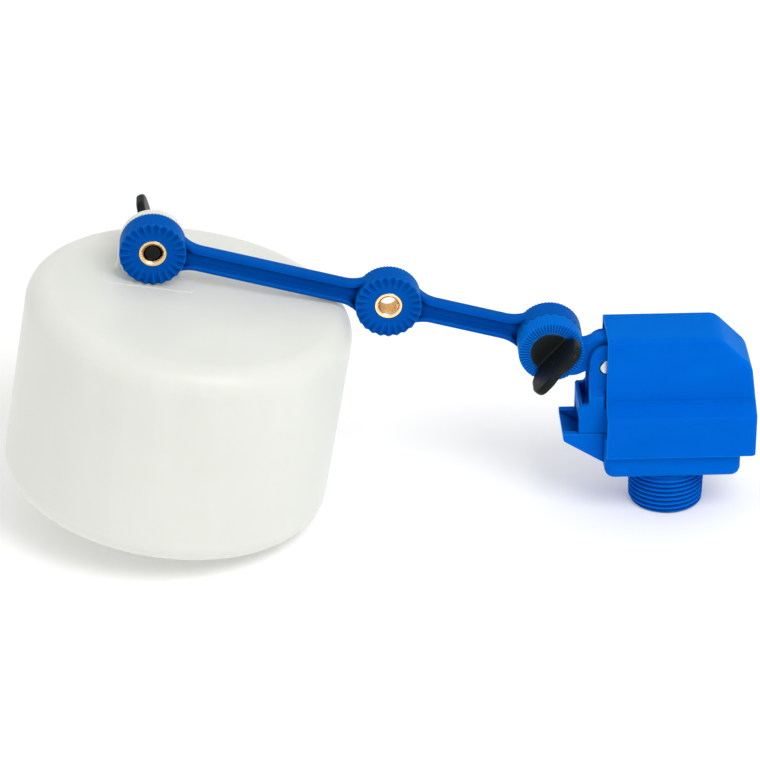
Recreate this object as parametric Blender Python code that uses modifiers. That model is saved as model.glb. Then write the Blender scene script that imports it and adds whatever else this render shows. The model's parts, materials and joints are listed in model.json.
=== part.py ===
"""Float valve: a 3/4 inch threaded inlet body under a hood, and a float on an adjustable toothed arm.

Metres, +Z up. The origin is the centre of the end of the inlet thread. The arm and float reach to -X,
and every hinge axis runs along Y.
"""

from math import atan2, cos, pi, radians, sin

import bmesh
import bpy
from mathutils import Matrix, Vector

MM = 0.001
GAP = 0.3 * MM

# Inlet thread, 3/4 inch taper pipe thread.
THREAD_PITCH = 1.814 * MM
THREAD_CREST_END = 12.95 * MM
THREAD_CREST_TOP = 13.4 * MM
THREAD_DEPTH = 0.95 * MM
INLET_BORE = 8.0 * MM
SHOULDER_Z = 15.4 * MM

# Body block, discharge trough, side walls and pivot cheeks.
BLOCK_X = (-23.0 * MM, 24.4 * MM)
BLOCK_HALF_Y = 15.0 * MM
BLOCK_TOP_Z = 31.0 * MM
RIM_X = (-19.0 * MM, 27.4 * MM)
RIM_HALF_Y = 15.7 * MM
RIM_BOTTOM_Z = 27.0 * MM
CHAMBER_FLOOR_Z = 21.2 * MM
CHAMBER_RADIUS = 10.6 * MM
TROUGH_END_X = -37.5 * MM
TROUGH_HALF_Y = 10.0 * MM
TROUGH_TOP_Z = 31.3 * MM
TROUGH_LIP_Z = 28.8 * MM
TROUGH_ROOT_Z = 19.6 * MM
WALL_END_X = -32.0 * MM
WALL_TOP_Z = 42.2 * MM
END_WALL = 1.1 * MM
STEP_TOP_Z = 45.8 * MM
WALL_HALF_Y = 9.7 * MM
CHANNEL_HALF_Y = 7.7 * MM
CHEEK_INNER_Y = 4.9 * MM
CHEEK_OUTER_Y = 7.4 * MM
CHEEK_HALF_X = 6.1 * MM
CHEEK_TOP_Z = 63.8 * MM

# Joint places.
PIVOT = (-22.5 * MM, 56.0 * MM)
LEVER_JOINT = (-41.6 * MM, 60.8 * MM)
ARM_SPAN = 141.2 * MM
ARM_SLOPE = radians(15.26)
MIDDLE_FROM_LEVER = 57.9 * MM

# Hood.
HOOD_WALL = 1.5 * MM
HOOD_TOP_Z = 67.9 * MM
HOOD_HALF_Y = 10.6 * MM
HOOD_CREASE_Z = 44.0 * MM
SKIRT_HALF_Y = 17.5 * MM
SKIRT_TOP_Z = 40.4 * MM
SKIRT_BOTTOM_Z = 25.4 * MM
HOOD_MOUTH_X = -22.8 * MM
HOOD_ROOF_END_X = 16.0 * MM
HOOD_CHAMFER = 11.5 * MM
HOOD_END_X = 29.1 * MM

# Toothed joints.
BOSS_RADIUS = 11.4 * MM
TEETH = 24
TOOTH_DEPTH = 1.3 * MM
TOOTH_ROOT_RADIUS = 6.7 * MM
LEVER_FRONT_Y = -2.9 * MM
LEVER_BACK_Y = 1.9 * MM
ARM_FRONT_Y = 2.2 * MM
ARM_BACK_Y = 12.0 * MM
INSERT_RADIUS = 4.9 * MM
INSERT_BORE = 3.2 * MM
BAR_FRONT_Y = 5.6 * MM
BAR_BACK_Y = 10.4 * MM
BAR_HALF_HEIGHT = 4.1 * MM
FLANGE_HEIGHT = 2.0 * MM
FRONT_RECESS = 2.6 * MM
BACK_RECESS = 0.8 * MM

# Wing screws.
SHANK_RADIUS = 2.9 * MM
HEAD_RADIUS = 7.5 * MM
HEAD_THICKNESS = 1.8 * MM
WING_HALF_SPAN = 11.2 * MM
WING_HEIGHT = 15.0 * MM
WING_THICKNESS = 3.0 * MM
LEVER_WING_ANGLE = radians(48.8)
FLOAT_WING_ANGLE = radians(-75)

# Valve parts on the inlet axis.
TRAVEL = 6.58 * MM
SEAT_TOP_Z = 26.5 * MM
GUIDE_X = (-13.0 * MM, 15.0 * MM)
GUIDE_HALF_Y = 14.2 * MM
GUIDE_PLATE = 2.2 * MM
GUIDE_CEILING_Z = 39.6 * MM
GUIDE_TOP_Z = 45.7 * MM
GUIDE_CAVITY = 8.3 * MM
GUIDE_SCREWS = ((-10.2 * MM, 11.6 * MM), (12.2 * MM, -11.6 * MM))
SCREW_TIP_Z = 26.5 * MM
PLUNGER_RADIUS = 4.0 * MM
PLUNGER_TOP_Z = 55.7 * MM
GROOVE_Z = 48.6 * MM
PIN_RADIUS = 2.6 * MM

# Float.
FLOAT_RADIUS = 56.4 * MM
FLOAT_HEIGHT = 75.0 * MM
FLOAT_ROUNDING = 8.5 * MM
FLOAT_WALL = 1.6 * MM
FLOAT_TILT = radians(9.1)
EAR_OFFSET = (-15.3 * MM, 12.1 * MM)
EAR_FRONT_Y = 12.3 * MM
EAR_BACK_Y = 15.3 * MM
FILLER_RADIUS = 6.0 * MM

for old in list(bpy.data.objects):
    bpy.data.objects.remove(old, do_unlink=True)
PARTS = bpy.data.collections.new("float_valve")
CUTTERS = bpy.data.collections.new("cutters")
for group in (PARTS, CUTTERS):
    bpy.context.scene.collection.children.link(group)


def material(name, colour, roughness, metallic=0.0):
    made = bpy.data.materials.new(name)
    made.use_nodes = True
    shader = made.node_tree.nodes["Principled BSDF"]
    shader.inputs["Base Color"].default_value = (*colour, 1.0)
    shader.inputs["Roughness"].default_value = roughness
    shader.inputs["Metallic"].default_value = metallic
    return made


def arm_point(distance):
    """The (x, z) of the point that lies this far from the lever joint along the arm."""
    return (LEVER_JOINT[0] - distance * cos(ARM_SLOPE), LEVER_JOINT[1] + distance * sin(ARM_SLOPE))


FLOAT_JOINT = arm_point(ARM_SPAN)


def arc(centre, radius, start, end, steps):
    """Points on an arc, its angles in degrees, both ends included."""
    turns = [radians(start + (end - start) * i / steps) for i in range(steps + 1)]
    return [(centre[0] + radius * cos(t), centre[1] + radius * sin(t)) for t in turns]


def mesh_object(name, work, mat=None, smooth=False):
    """An object made from a bmesh that is in world coordinates."""
    bmesh.ops.recalc_face_normals(work, faces=work.faces)
    data = bpy.data.meshes.new(name)
    work.to_mesh(data)
    work.free()
    if smooth:
        data.shade_smooth()
        data.set_sharp_from_angle(angle=radians(35))
    made = bpy.data.objects.new(name, data)
    if mat:
        data.materials.append(mat)
        PARTS.objects.link(made)
    else:
        made.hide_render = True
        made.display_type = "WIRE"
        CUTTERS.objects.link(made)
    return made


XZ_PLATE = Matrix(((1, 0, 0, 0), (0, 0, -1, 0), (0, 1, 0, 0), (0, 0, 0, 1)))
YZ_PLATE = Matrix(((0, 0, 1, 0), (1, 0, 0, 0), (0, 1, 0, 0), (0, 0, 0, 1)))


def plate(name, outline, low, high, mat=None, turn=XZ_PLATE):
    """A flat outline made thick from low to high: along Y for an (x, z) outline, along X for a (y, z) one."""
    flat = bpy.data.curves.new(name, "CURVE")
    flat.dimensions = "2D"
    flat.fill_mode = "BOTH"
    flat.extrude = (high - low) / 2
    edge = flat.splines.new("POLY")
    edge.points.add(len(outline) - 1)
    for point, (across, up) in zip(edge.points, outline):
        point.co = (across, up, 0, 1)
    edge.use_cyclic_u = True
    holder = bpy.data.objects.new(name + "_outline", flat)
    bpy.context.scene.collection.objects.link(holder)
    bpy.context.view_layer.update()
    solid = bpy.data.meshes.new_from_object(holder.evaluated_get(bpy.context.evaluated_depsgraph_get()))
    work = bmesh.new()
    work.from_mesh(solid)
    bmesh.ops.remove_doubles(work, verts=work.verts, dist=1e-6)
    bmesh.ops.transform(work, matrix=turn, verts=work.verts)
    middle = (low + high) / 2
    shift = (0, middle, 0) if turn is XZ_PLATE else (middle, 0, 0)
    bmesh.ops.translate(work, vec=shift, verts=work.verts)
    bpy.data.objects.remove(holder, do_unlink=True)
    bpy.data.curves.remove(flat)
    bpy.data.meshes.remove(solid)
    return mesh_object(name, work, mat)


def box(name, low, high, mat=None):
    work = bmesh.new()
    bmesh.ops.create_cube(work, size=1)
    size = Vector(high) - Vector(low)
    centre = (Vector(high) + Vector(low)) / 2
    bmesh.ops.scale(work, vec=size, verts=work.verts)
    bmesh.ops.translate(work, vec=centre, verts=work.verts)
    return mesh_object(name, work, mat)


def rod(name, place, radius, low, high, mat=None, segments=32):
    """A cylinder along Y about the (x, z) place."""
    work = bmesh.new()
    bmesh.ops.create_cone(
        work, cap_ends=True, segments=segments, radius1=radius, radius2=radius, depth=high - low
    )
    bmesh.ops.rotate(work, matrix=Matrix.Rotation(pi / 2, 3, "X"), verts=work.verts)
    bmesh.ops.translate(work, vec=(place[0], (low + high) / 2, place[1]), verts=work.verts)
    return mesh_object(name, work, mat)


def upright_rod(name, place, radius, low, high):
    """A cutter: a cylinder along Z about the (x, y) place."""
    work = bmesh.new()
    bmesh.ops.create_cone(work, cap_ends=True, segments=16, radius1=radius, radius2=radius, depth=high - low)
    bmesh.ops.translate(work, vec=(*place, (low + high) / 2), verts=work.verts)
    return mesh_object(name, work)


def turned(name, profile, mat=None, steps=36):
    """A turned shape about Z, from an (r, z) profile that runs down its outer side and up its inner side."""
    data = bpy.data.meshes.new(name)
    points = [(r, 0, z) for r, z in profile]
    closed = profile[0][0] > 0
    edges = [(i, i + 1) for i in range(len(points) - 1)]
    if closed:
        edges.append((len(points) - 1, 0))
    data.from_pydata(points, edges, [])
    made = bpy.data.objects.new(name, data)
    spin = made.modifiers.new("turn", "SCREW")
    spin.steps = spin.render_steps = steps
    spin.use_merge_vertices = True
    spin.merge_threshold = 0.00001
    spin.use_smooth_shade = True
    if mat:
        data.materials.append(mat)
        PARTS.objects.link(made)
    else:
        made.hide_render = True
        made.display_type = "WIRE"
        CUTTERS.objects.link(made)
    return made


def boolean(obj, operation, tools):
    for tool in tools:
        step = obj.modifiers.new(operation.lower() + "_" + tool.name, "BOOLEAN")
        step.operation = operation
        step.object = tool
        step.solver = "EXACT"


def cut(obj, *tools):
    boolean(obj, "DIFFERENCE", tools)


def join(obj, *tools):
    boolean(obj, "UNION", tools)


def keep_common(obj, *tools):
    boolean(obj, "INTERSECT", tools)


def soften(obj, width, segments=2):
    edge = obj.modifiers.new("soften", "BEVEL")
    edge.width = width
    edge.segments = segments
    edge.limit_method = "ANGLE"
    edge.angle_limit = radians(40)


def toothed_boss(name, place, front, back, front_teeth=True, back_teeth=True, mat=None):
    """A round boss along Y with a ring of radial V teeth standing on a face, highest at the rim."""
    work = bmesh.new()
    bmesh.ops.create_cone(
        work, cap_ends=True, segments=2 * TEETH, radius1=BOSS_RADIUS, radius2=BOSS_RADIUS, depth=back - front
    )
    caps = [face for face in work.faces if abs(face.normal.z) > 0.9]
    for cap in caps:
        toothed = back_teeth if cap.normal.z < 0 else front_teeth
        if not toothed:
            continue
        inward = -1 if cap.normal.z > 0 else 1
        bmesh.ops.inset_individual(work, faces=[cap], thickness=BOSS_RADIUS - TOOTH_ROOT_RADIUS)
        face_z = cap.calc_center_median().z
        for vert in work.verts:
            on_face = abs(vert.co.z - face_z) < 1e-6
            on_rim = vert.co.xy.length > BOSS_RADIUS - 1e-5
            turn = round(atan2(vert.co.y, vert.co.x) / (pi / TEETH))
            if on_face and (turn % 2 or not on_rim):
                vert.co.z += inward * TOOTH_DEPTH
    bmesh.ops.rotate(work, matrix=Matrix.Rotation(pi / 2, 3, "X"), verts=work.verts)
    bmesh.ops.translate(work, vec=(place[0], (front + back) / 2, place[1]), verts=work.verts)
    return mesh_object(name, work, mat)


def make_body(mat):
    ridges = []
    top = SHOULDER_Z + 2 * MM
    taper = (THREAD_CREST_TOP - THREAD_CREST_END) / SHOULDER_Z
    start = 0.9 * MM
    for turn in range(8):
        z = start + turn * THREAD_PITCH
        crest = THREAD_CREST_END + taper * z
        ridges += [(crest - THREAD_DEPTH, z - 0.45 * THREAD_PITCH), (crest, z)]
    ridges += [(THREAD_CREST_TOP - THREAD_DEPTH, SHOULDER_Z - 0.6 * MM)]
    spigot = turned(
        "spigot",
        [(0, top), (THREAD_CREST_TOP - THREAD_DEPTH, top)]
        + ridges[::-1]
        + [(THREAD_CREST_END - THREAD_DEPTH, 0), (0, 0)],
    )
    body = box("valve_body", (BLOCK_X[0], -BLOCK_HALF_Y, SHOULDER_Z), (BLOCK_X[1], BLOCK_HALF_Y, BLOCK_TOP_Z), mat)
    soften(body, 3.0 * MM)
    rim = box("body_rim", (RIM_X[0], -RIM_HALF_Y, RIM_BOTTOM_Z), (RIM_X[1], RIM_HALF_Y, BLOCK_TOP_Z - 0.4 * MM))
    trough = plate(
        "trough_sides",
        [
            (BLOCK_X[0] + 3 * MM, TROUGH_ROOT_Z - 1.8 * MM),
            (TROUGH_END_X, TROUGH_LIP_Z),
            (TROUGH_END_X, TROUGH_TOP_Z),
            (BLOCK_X[0] + 5 * MM, TROUGH_TOP_Z),
        ],
        -TROUGH_HALF_Y,
        TROUGH_HALF_Y,
    )
    walls = box(
        "side_walls",
        (WALL_END_X, -WALL_HALF_Y, TROUGH_TOP_Z - 4 * MM),
        (PIVOT[0] + CHEEK_HALF_X + 2 * MM, WALL_HALF_Y, WALL_TOP_Z),
    )
    step_x = WALL_END_X + 2.9 * MM
    steps = plate(
        "wall_steps",
        [
            (step_x, WALL_TOP_Z - 1 * MM),
            (step_x, WALL_TOP_Z - 0.1 * MM),
            (step_x + 1.8 * MM, STEP_TOP_Z),
            (HOOD_MOUTH_X - 0.4 * MM, STEP_TOP_Z),
            (HOOD_MOUTH_X - 0.4 * MM, WALL_TOP_Z - 1 * MM),
        ],
        -WALL_HALF_Y,
        WALL_HALF_Y,
    )
    join(body, rim, spigot, trough, walls, steps)
    channel = plate(
        "channel",
        [
            (TROUGH_END_X - 2 * MM, TROUGH_TOP_Z + 0.6 * MM),
            (BLOCK_X[0] + 1 * MM, CHAMBER_FLOOR_Z),
            (2 * MM, CHAMBER_FLOOR_Z),
            (2 * MM, STEP_TOP_Z + 2 * MM),
            (WALL_END_X + END_WALL, STEP_TOP_Z + 2 * MM),
            (WALL_END_X + END_WALL, TROUGH_TOP_Z + 4.7 * MM),
            (TROUGH_END_X - 2 * MM, TROUGH_TOP_Z + 4.7 * MM),
        ],
        -CHANNEL_HALF_Y,
        CHANNEL_HALF_Y,
    )
    chamber = turned(
        "chamber",
        [(0, WALL_TOP_Z), (CHAMBER_RADIUS, WALL_TOP_Z), (CHAMBER_RADIUS, CHAMBER_FLOOR_Z), (0, CHAMBER_FLOOR_Z)],
    )
    bore = turned("inlet_bore", [(0, 25 * MM), (INLET_BORE, 25 * MM), (INLET_BORE, -1 * MM), (0, -1 * MM)])
    cut(body, channel, chamber, bore)
    for side in (-1, 1):
        body_cheek(body, side)
    pin_hole = rod("pivot_hole", PIVOT, PIN_RADIUS + 0.25 * MM, -12 * MM, 12 * MM)
    cut(body, pin_hole)
    for number, place in enumerate(GUIDE_SCREWS):
        cut(body, upright_rod("screw_hole_%d" % number, place, 1.4 * MM, SCREW_TIP_Z - 1.2 * MM, 35 * MM))
    return body


def body_cheek(body, side):
    """One pivot cheek: a thick foot between channel and side wall, and a thinner upright round the pin."""
    left, right = PIVOT[0] - CHEEK_HALF_X, PIVOT[0] + CHEEK_HALF_X
    corner = 6.0 * MM
    shoulder = CHEEK_TOP_Z - corner
    outline = [(left, CHAMBER_FLOOR_Z + 3.2 * MM), (right, CHAMBER_FLOOR_Z - 1 * MM), (right, shoulder)]
    outline += arc((right - corner, shoulder), corner, 0, 90, 4)[1:]
    outline += arc((left + corner, shoulder), corner, 90, 180, 4)
    low, high = sorted((side * CHEEK_INNER_Y, side * CHEEK_OUTER_Y))
    upright = plate("cheek_%+d" % side, outline, low, high)
    low, high = sorted((side * (CHEEK_INNER_Y + 0.1 * MM), side * (CHANNEL_HALF_Y + 1 * MM)))
    foot = box(
        "cheek_foot_%+d" % side,
        (left + 0.2 * MM, low, CHAMBER_FLOOR_Z + 3.4 * MM),
        (right - 0.2 * MM, high, STEP_TOP_Z - 0.2 * MM),
    )
    join(body, upright, foot)


def hood_section(inset):
    """Half-widths and heights of the hood's cross-section, for its outside or, inset, its inside."""
    slope = inset * 0.62
    return [
        (-SKIRT_HALF_Y + inset, SKIRT_BOTTOM_Z - (2 * MM if inset else 0)),
        (SKIRT_HALF_Y - inset, SKIRT_BOTTOM_Z - (2 * MM if inset else 0)),
        (SKIRT_HALF_Y - inset, SKIRT_TOP_Z - slope),
        (HOOD_HALF_Y - inset, HOOD_CREASE_Z - slope),
        (HOOD_HALF_Y - inset, HOOD_TOP_Z - inset),
        (-HOOD_HALF_Y + inset, HOOD_TOP_Z - inset),
        (-HOOD_HALF_Y + inset, HOOD_CREASE_Z - slope),
        (-SKIRT_HALF_Y + inset, SKIRT_TOP_Z - slope),
    ]


def hood_side(inset):
    """The hood's outline from the side. The inside runs out past the mouth and the bottom."""
    past = 3 * MM if inset else 0
    diagonal = inset * 0.42
    return [
        (HOOD_MOUTH_X - past, SKIRT_BOTTOM_Z - past),
        (HOOD_END_X - inset, SKIRT_BOTTOM_Z - past),
        (HOOD_END_X - inset, HOOD_CREASE_Z),
        (HOOD_ROOF_END_X + HOOD_CHAMFER - inset, HOOD_TOP_Z - HOOD_CHAMFER - diagonal),
        (HOOD_ROOF_END_X - diagonal, HOOD_TOP_Z - inset),
        (HOOD_MOUTH_X - past, HOOD_TOP_Z - inset),
    ]


def make_hood(mat):
    hood = plate("hood_cover", hood_side(0), -SKIRT_HALF_Y - 1 * MM, SKIRT_HALF_Y + 1 * MM, mat)
    outside = plate("hood_outside", hood_section(0), HOOD_MOUTH_X - 5 * MM, HOOD_END_X + 5 * MM, turn=YZ_PLATE)
    keep_common(hood, outside)
    soften(hood, 0.8 * MM, 1)
    inside = plate("hood_inside", hood_side(HOOD_WALL), -SKIRT_HALF_Y, SKIRT_HALF_Y)
    hollow = plate(
        "hood_hollow", hood_section(HOOD_WALL), HOOD_MOUTH_X - 5 * MM, HOOD_END_X - 0.5 * MM, turn=YZ_PLATE
    )
    keep_common(inside, hollow)
    cut(hood, inside)
    return hood


def make_nozzle(brass, rubber):
    shank = INLET_BORE - GAP
    groove_z = 17.2 * MM
    turned(
        "seat_nozzle",
        [
            (3.2 * MM, SEAT_TOP_Z),
            (4.2 * MM, SEAT_TOP_Z - 0.6 * MM),
            (5.2 * MM, 23.2 * MM),
            (9.4 * MM, 23.0 * MM),
            (9.4 * MM, CHAMBER_FLOOR_Z + GAP),
            (shank, CHAMBER_FLOOR_Z + GAP),
            (shank, groove_z + 0.9 * MM),
            (6.3 * MM, groove_z + 0.9 * MM),
            (6.3 * MM, groove_z - 0.9 * MM),
            (shank, groove_z - 0.9 * MM),
            (shank, 14.0 * MM),
            (5.4 * MM, 14.0 * MM),
            (5.4 * MM, 21.0 * MM),
            (2.5 * MM, 23.0 * MM),
            (2.5 * MM, SEAT_TOP_Z),
        ],
        brass,
    )
    turned("nozzle_o_ring", ring_profile(7.1 * MM, groove_z, 0.62 * MM), rubber)


def ring_profile(radius, z, thickness, steps=8):
    """A round section, from its top down its outer side."""
    turns = [pi / 2 - 2 * pi * i / steps for i in range(steps)]
    return [(radius + thickness * cos(t), z + thickness * sin(t)) for t in turns]


def make_guide(plastic, steel):
    """The bridge over the chamber that guides the plunger, and the two screws that hold it."""
    base = BLOCK_TOP_Z + GAP
    plate_top = base + GUIDE_PLATE
    guide = box("plunger_guide", (GUIDE_X[0], -GUIDE_HALF_Y, base), (GUIDE_X[1], GUIDE_HALF_Y, plate_top), plastic)
    shoulder = GUIDE_CEILING_Z + 1.6 * MM
    tower = turned(
        "guide_tower",
        [
            (0, GUIDE_TOP_Z),
            (6.5 * MM, GUIDE_TOP_Z),
            (6.8 * MM, shoulder + 0.8 * MM),
            (GUIDE_CAVITY + 1.7 * MM, shoulder),
            (GUIDE_CAVITY + 1.7 * MM, base + 0.5 * MM),
            (0, base + 0.5 * MM),
        ],
    )
    hollow = turned(
        "guide_hollow",
        [
            (0, GUIDE_TOP_Z + 1 * MM),
            (PLUNGER_RADIUS + GAP, GUIDE_TOP_Z + 1 * MM),
            (PLUNGER_RADIUS + GAP, GUIDE_CEILING_Z),
            (GUIDE_CAVITY, GUIDE_CEILING_Z),
            (GUIDE_CAVITY, base - 1 * MM),
            (0, base - 1 * MM),
        ],
    )
    join(guide, tower)
    cut(guide, hollow)
    for side, place in (("left", GUIDE_SCREWS[0]), ("right", GUIDE_SCREWS[1])):
        clear = upright_rod("guide_hole_" + side, place, 1.5 * MM, base - 1 * MM, plate_top + 1 * MM)
        cut(guide, clear)
        head_low = plate_top + GAP
        screw = turned(
            "guide_screw_" + side,
            [
                (0, head_low + 1.2 * MM),
                (1.6 * MM, head_low + 1.1 * MM),
                (2.3 * MM, head_low + 0.5 * MM),
                (2.3 * MM, head_low),
                (1.1 * MM, head_low),
                (1.1 * MM, SCREW_TIP_Z),
                (0, SCREW_TIP_Z - 0.6 * MM),
            ],
            steel,
            steps=16,
        )
        screw.location = (*place, 0)


def make_plunger(plastic, rubber, steel, parent):
    washer_bottom = SEAT_TOP_Z + TRAVEL + GAP
    washer_top = washer_bottom + 2.4 * MM
    flange = washer_top + GAP
    screw_hole = 1.7 * MM
    groove_low, groove_high = GROOVE_Z - 0.8 * MM, GROOVE_Z + 0.8 * MM
    groove_root = 2.8 * MM
    plunger = turned(
        "plunger",
        [
            (0, PLUNGER_TOP_Z),
            (4.5 * MM, PLUNGER_TOP_Z),
            (5.6 * MM, PLUNGER_TOP_Z - 0.8 * MM),
            (5.6 * MM, PLUNGER_TOP_Z - 2.6 * MM),
            (PLUNGER_RADIUS, PLUNGER_TOP_Z - 3.0 * MM),
            (PLUNGER_RADIUS, groove_high),
            (groove_root, groove_high),
            (groove_root, groove_low),
            (PLUNGER_RADIUS, groove_low),
            (PLUNGER_RADIUS, flange + 2.4 * MM),
            (7.2 * MM, flange + 2.2 * MM),
            (7.2 * MM, flange),
            (screw_hole, flange),
            (screw_hole, flange + 7 * MM),
            (0, flange + 7 * MM),
        ],
        plastic,
    )
    ring = turned("plunger_o_ring", ring_profile(groove_root + GAP + 0.5 * MM, GROOVE_Z, 0.5 * MM), rubber, 24)
    washer = turned(
        "valve_washer",
        [(6.9 * MM, washer_top), (6.9 * MM, washer_bottom), (1.8 * MM, washer_bottom), (1.8 * MM, washer_top)],
        rubber,
    )
    screw = turned(
        "washer_screw",
        [
            (0, flange + 6.4 * MM),
            (1.4 * MM, flange + 6.0 * MM),
            (1.4 * MM, washer_bottom - GAP),
            (2.1 * MM, washer_bottom - GAP),
            (1.8 * MM, washer_bottom - 1.6 * MM),
            (0, washer_bottom - 1.8 * MM),
        ],
        steel,
        steps=20,
    )
    for part in (plunger, ring, washer, screw):
        hang(part, parent)


def make_pin(steel):
    front, back = -CHEEK_OUTER_Y - 0.1 * MM, CHEEK_OUTER_Y + 1.3 * MM
    pin = rod("pivot_pin", PIVOT, PIN_RADIUS, front, back, steel, 24)
    soften(pin, 0.3 * MM, 1)
    ring_low, ring_high = CHEEK_OUTER_Y + GAP, CHEEK_OUTER_Y + GAP + 0.5 * MM
    groove = rod("clip_groove", PIVOT, PIN_RADIUS + 1 * MM, ring_low - 0.1 * MM, ring_high + 0.1 * MM)
    core = rod("clip_groove_core", PIVOT, PIN_RADIUS - 0.6 * MM, ring_low - 1 * MM, ring_high + 1 * MM)
    cut(groove, core)
    cut(pin, groove)
    inner, outer = PIN_RADIUS - 0.4 * MM, PIN_RADIUS + 1.5 * MM
    open_half = 35
    outline = arc(PIVOT, outer, -90 + open_half, 270 - open_half, 18)
    outline += arc(PIVOT, inner, 270 - open_half, -90 + open_half, 18)
    plate("pivot_pin_clip", outline, ring_low, ring_high, steel)


def make_lever(mat, parent):
    """The lever: toothed boss, neck, hub on the pin, and a nose that presses the plunger down."""
    px, pz = PIVOT
    lever = toothed_boss("lever", LEVER_JOINT, LEVER_FRONT_Y, LEVER_BACK_Y, front_teeth=False, mat=mat)
    roof = HOOD_TOP_Z - HOOD_WALL - GAP
    nose_centre = (0.0, PLUNGER_TOP_Z + GAP + 3 * MM)
    outline = [
        (LEVER_JOINT[0] + 2 * MM, LEVER_JOINT[1] - 9.6 * MM),
        (-29.0 * MM, 53.2 * MM),
        (px - 5.0 * MM, pz - 4.0 * MM),
    ]
    outline += arc(PIVOT, 5.8 * MM, 215, 290, 5)
    outline += [(-7.5 * MM, PLUNGER_TOP_Z + 0.6 * MM)]
    outline += arc(nose_centre, 3 * MM, -95, 60, 6)
    outline += [
        (-11.0 * MM, roof),
        (-23.6 * MM, roof),
        (-29.6 * MM, 64.2 * MM),
        (-33.0 * MM, 64.2 * MM),
        (LEVER_JOINT[0] + 2 * MM, LEVER_JOINT[1] + 8 * MM),
    ]
    neck = plate("lever_neck", outline, LEVER_FRONT_Y + 0.2 * MM, LEVER_BACK_Y - 0.2 * MM)
    hub = rod("lever_hub", PIVOT, 5.5 * MM, -CHEEK_INNER_Y + GAP, CHEEK_INNER_Y - GAP)
    pin_hole = rod("lever_pin_hole", PIVOT, PIN_RADIUS + GAP, -12 * MM, 12 * MM)
    screw_hole = rod("lever_screw_hole", LEVER_JOINT, SHANK_RADIUS + 0.4 * MM, -12 * MM, 12 * MM)
    join(lever, neck, hub)
    cut(lever, pin_hole, screw_hole)
    hang(lever, parent)


def make_arm(mat, brass, parent):
    joints = [("lever_end", LEVER_JOINT), ("middle", arm_point(MIDDLE_FROM_LEVER)), ("float_end", FLOAT_JOINT)]
    across = Vector((sin(ARM_SLOPE), cos(ARM_SLOPE)))
    start, end = Vector(LEVER_JOINT), Vector(FLOAT_JOINT)
    half = BAR_HALF_HEIGHT
    bar = plate(
        "float_arm",
        [start + across * half, start - across * half, end - across * half, end + across * half],
        BAR_FRONT_Y,
        BAR_BACK_Y,
        mat,
    )
    web = half - FLANGE_HEIGHT
    margin = (end - start).normalized() * 6 * MM
    start, end = start + margin, end - margin
    for number, (low, high) in enumerate(
        ((BAR_FRONT_Y - 1 * MM, BAR_FRONT_Y + FRONT_RECESS), (BAR_BACK_Y - BACK_RECESS, BAR_BACK_Y + 1 * MM))
    ):
        recess = plate(
            "arm_recess_%d" % number,
            [start + across * web, start - across * web, end - across * web, end + across * web],
            low,
            high,
        )
        cut(bar, recess)
    bosses = [
        toothed_boss("arm_boss_" + name, place, ARM_FRONT_Y, ARM_BACK_Y, back_teeth=False)
        for name, place in joints
    ]
    flares = [arm_flare(name, place, joints) for name, place in joints]
    bores = [
        rod("insert_bore_" + name, place, INSERT_RADIUS + 0.25 * MM, 0, 20 * MM, segments=24)
        for name, place in joints
    ]
    join(bar, *flares)
    join(bar, *bosses)
    cut(bar, *bores)
    hang(bar, parent)
    for name, place in joints:
        front, back = ARM_FRONT_Y + TOOTH_DEPTH, ARM_BACK_Y
        insert = rod("insert_" + name, place, INSERT_RADIUS, front + 0.1 * MM, back - 0.1 * MM, brass, 24)
        bore = rod("insert_hole_" + name, place, INSERT_BORE, 0, 20 * MM, segments=24)
        cut(insert, bore)
        hang(insert, parent)


def arm_flare(name, place, joints):
    """The bar widens towards each boss: a plate as thick as the bar, tangent to the boss."""
    along = Vector((-cos(ARM_SLOPE), sin(ARM_SLOPE)))
    across = Vector((sin(ARM_SLOPE), cos(ARM_SLOPE)))
    centre = Vector(place)
    reach = 19 * MM
    towards = [along] if name == "lever_end" else [-along] if name == "float_end" else [along, -along]
    outline = []
    if len(towards) == 2:
        outline = [
            centre + along * reach + across * BAR_HALF_HEIGHT * 0.98,
            centre + along * 9 * MM + across * 6.6 * MM,
            centre - along * 9 * MM + across * 6.6 * MM,
            centre - along * reach + across * BAR_HALF_HEIGHT * 0.98,
            centre - along * reach - across * BAR_HALF_HEIGHT * 0.98,
            centre - along * 9 * MM - across * 6.6 * MM,
            centre + along * 9 * MM - across * 6.6 * MM,
            centre + along * reach - across * BAR_HALF_HEIGHT * 0.98,
        ]
    else:
        way = towards[0]
        outline = [
            centre + way * reach + across * BAR_HALF_HEIGHT * 0.98,
            centre + way * 9 * MM + across * 6.6 * MM,
            centre + across * 6.6 * MM,
            centre - across * 6.6 * MM,
            centre + way * 9 * MM - across * 6.6 * MM,
            centre + way * reach - across * BAR_HALF_HEIGHT * 0.98,
        ]
    return plate("arm_flare_" + name, outline, BAR_FRONT_Y + 0.15 * MM, BAR_BACK_Y - 0.15 * MM)


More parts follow.
